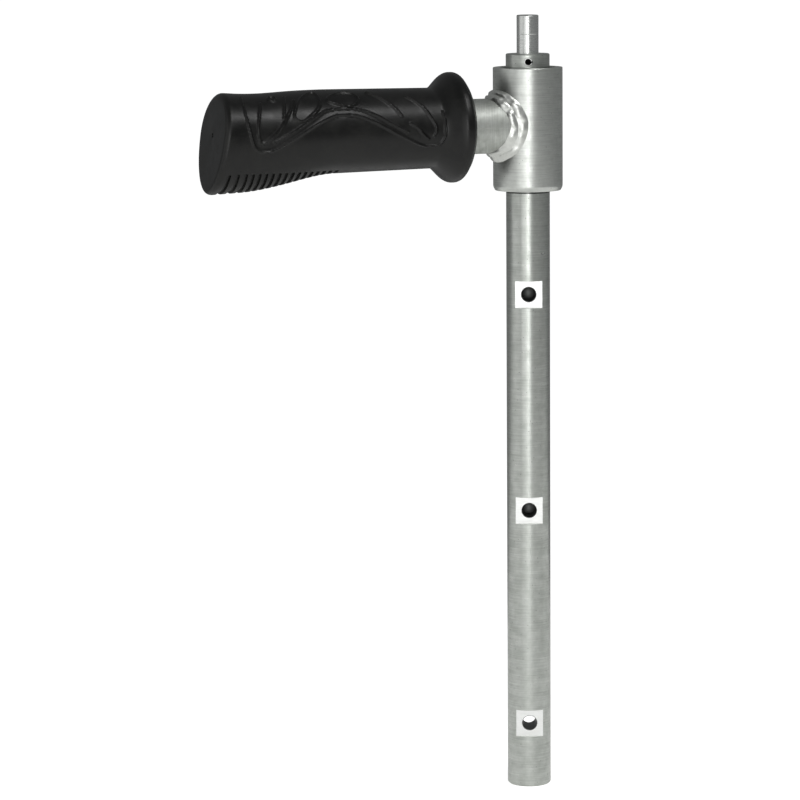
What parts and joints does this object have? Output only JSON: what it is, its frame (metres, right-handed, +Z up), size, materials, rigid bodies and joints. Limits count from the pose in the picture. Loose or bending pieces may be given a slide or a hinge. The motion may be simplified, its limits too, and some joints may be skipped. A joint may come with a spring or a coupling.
{
  "type": "winch handle",
  "caption": "Round steel lever arm with cross holes on milled seats, a drive spigot, and a welded swivelling head that carries a flanged rubber side grip",
  "frame": {"origin": "centre of the arm's lower end face", "axes": "+Z up along the arm to the spigot; the bolt holes run along Y with the front seats on -Y; at rest the grip points to -X, turned 22 degrees towards -Y"},
  "size_m": [0.1636, 0.0892, 0.3569],
  "materials": {
    "zinc_arm": "bright zinc plate over a turned bar, satin",
    "zinc_head": "bright zinc plate, satin",
    "weld_metal": "plated weld bead, rippled and bright",
    "polished_steel": "fine turned, polished",
    "spring_steel": "blackened spring steel",
    "washer_steel": "plain ground steel",
    "black_nylon": "moulded nylon, matt",
    "black_rubber": "moulded rubber, satin, raised pattern"
  },
  "bodies": {
    "arm": {"arm_bar": "zinc_arm", "drive_spigot": "polished_steel", "spigot_spring_pin": "spring_steel", "upper_retaining_ring": "spring_steel", "lower_retaining_ring": "spring_steel", "upper_thrust_washer": "washer_steel", "lower_thrust_washer": "washer_steel"},
    "head": {"hub_sleeve": "zinc_head", "upper_bush": "black_nylon", "lower_bush": "black_nylon", "grip_stub": "zinc_head", "weld_bead": "weld_metal", "rubber_grip": "black_rubber"}
  },
  "joints": [
    {"name": "head_swivel", "type": "hinge", "parent": "arm", "child": "head", "pos_m": [0, 0, 0.307], "axis": [0, 0, 1], "continuous": true}
  ]
}
